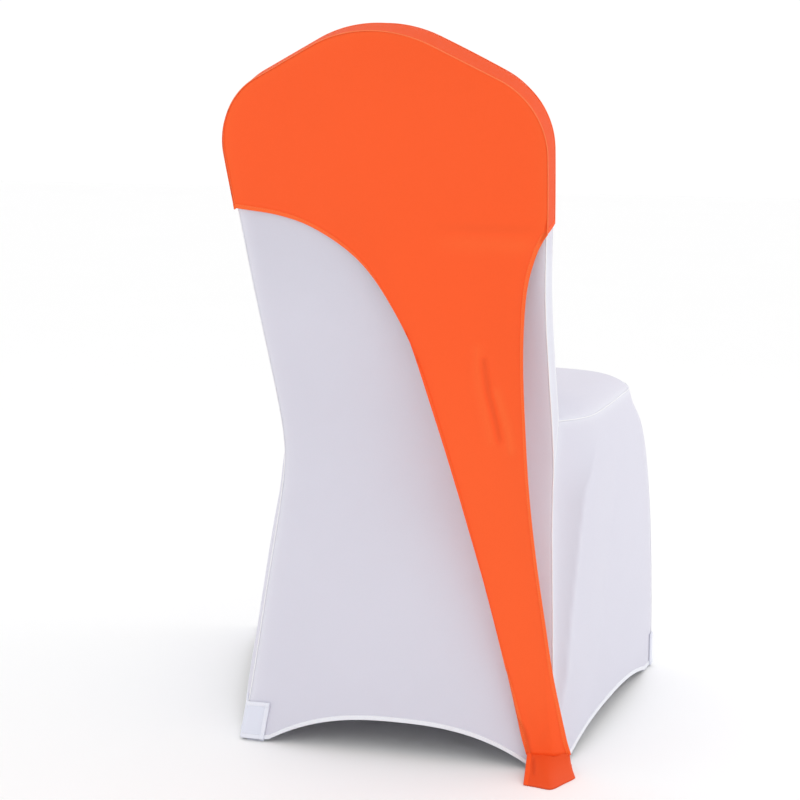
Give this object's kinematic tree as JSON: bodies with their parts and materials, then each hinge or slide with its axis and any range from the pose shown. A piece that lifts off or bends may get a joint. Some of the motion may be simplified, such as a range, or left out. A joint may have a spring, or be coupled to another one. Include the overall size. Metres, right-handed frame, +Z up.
{
  "type": "fitted chair cover with sash",
  "caption": "Stretch cover for a banquet chair with a crowned back, with a hood sash whose tail sweeps down the back to one rear foot.",
  "frame": {"origin": "where the top of the chair's back holds the cover, on the inside of the crown, midway across and midway through the back", "axes": "+Z up, -Y towards the front of the chair, +X to the sitter's left; the floor is 0.917 m below the origin"},
  "size_m": [0.6354, 0.621, 0.9273],
  "materials": {
    "white_cloth": "soft matte stretch knit",
    "doubled_white_cloth": "doubled stretch knit, a little shinier",
    "orange_cloth": "smooth stretch knit with a slight sheen"
  },
  "bodies": {
    "root": {"cover_rear_panel": "white_cloth", "cover_side_strip": "white_cloth", "cover_inside_panel": "white_cloth", "cover_seat_panel": "white_cloth", "cover_front_skirt": "white_cloth", "cover_left_skirt": "white_cloth", "cover_right_skirt": "white_cloth", "foot_patch_rear_left": "doubled_white_cloth", "foot_sole_rear_left": "doubled_white_cloth", "foot_patch_rear_right": "doubled_white_cloth", "foot_sole_rear_right": "doubled_white_cloth", "foot_patch_front_left": "doubled_white_cloth", "foot_sole_front_left": "doubled_white_cloth", "foot_patch_front_right": "doubled_white_cloth", "foot_sole_front_right": "doubled_white_cloth", "sash_panel": "orange_cloth", "sash_hood_strip": "orange_cloth", "sash_hood_inside": "orange_cloth", "sash_foot_pocket": "orange_cloth"}
  },
  "joints": []
}
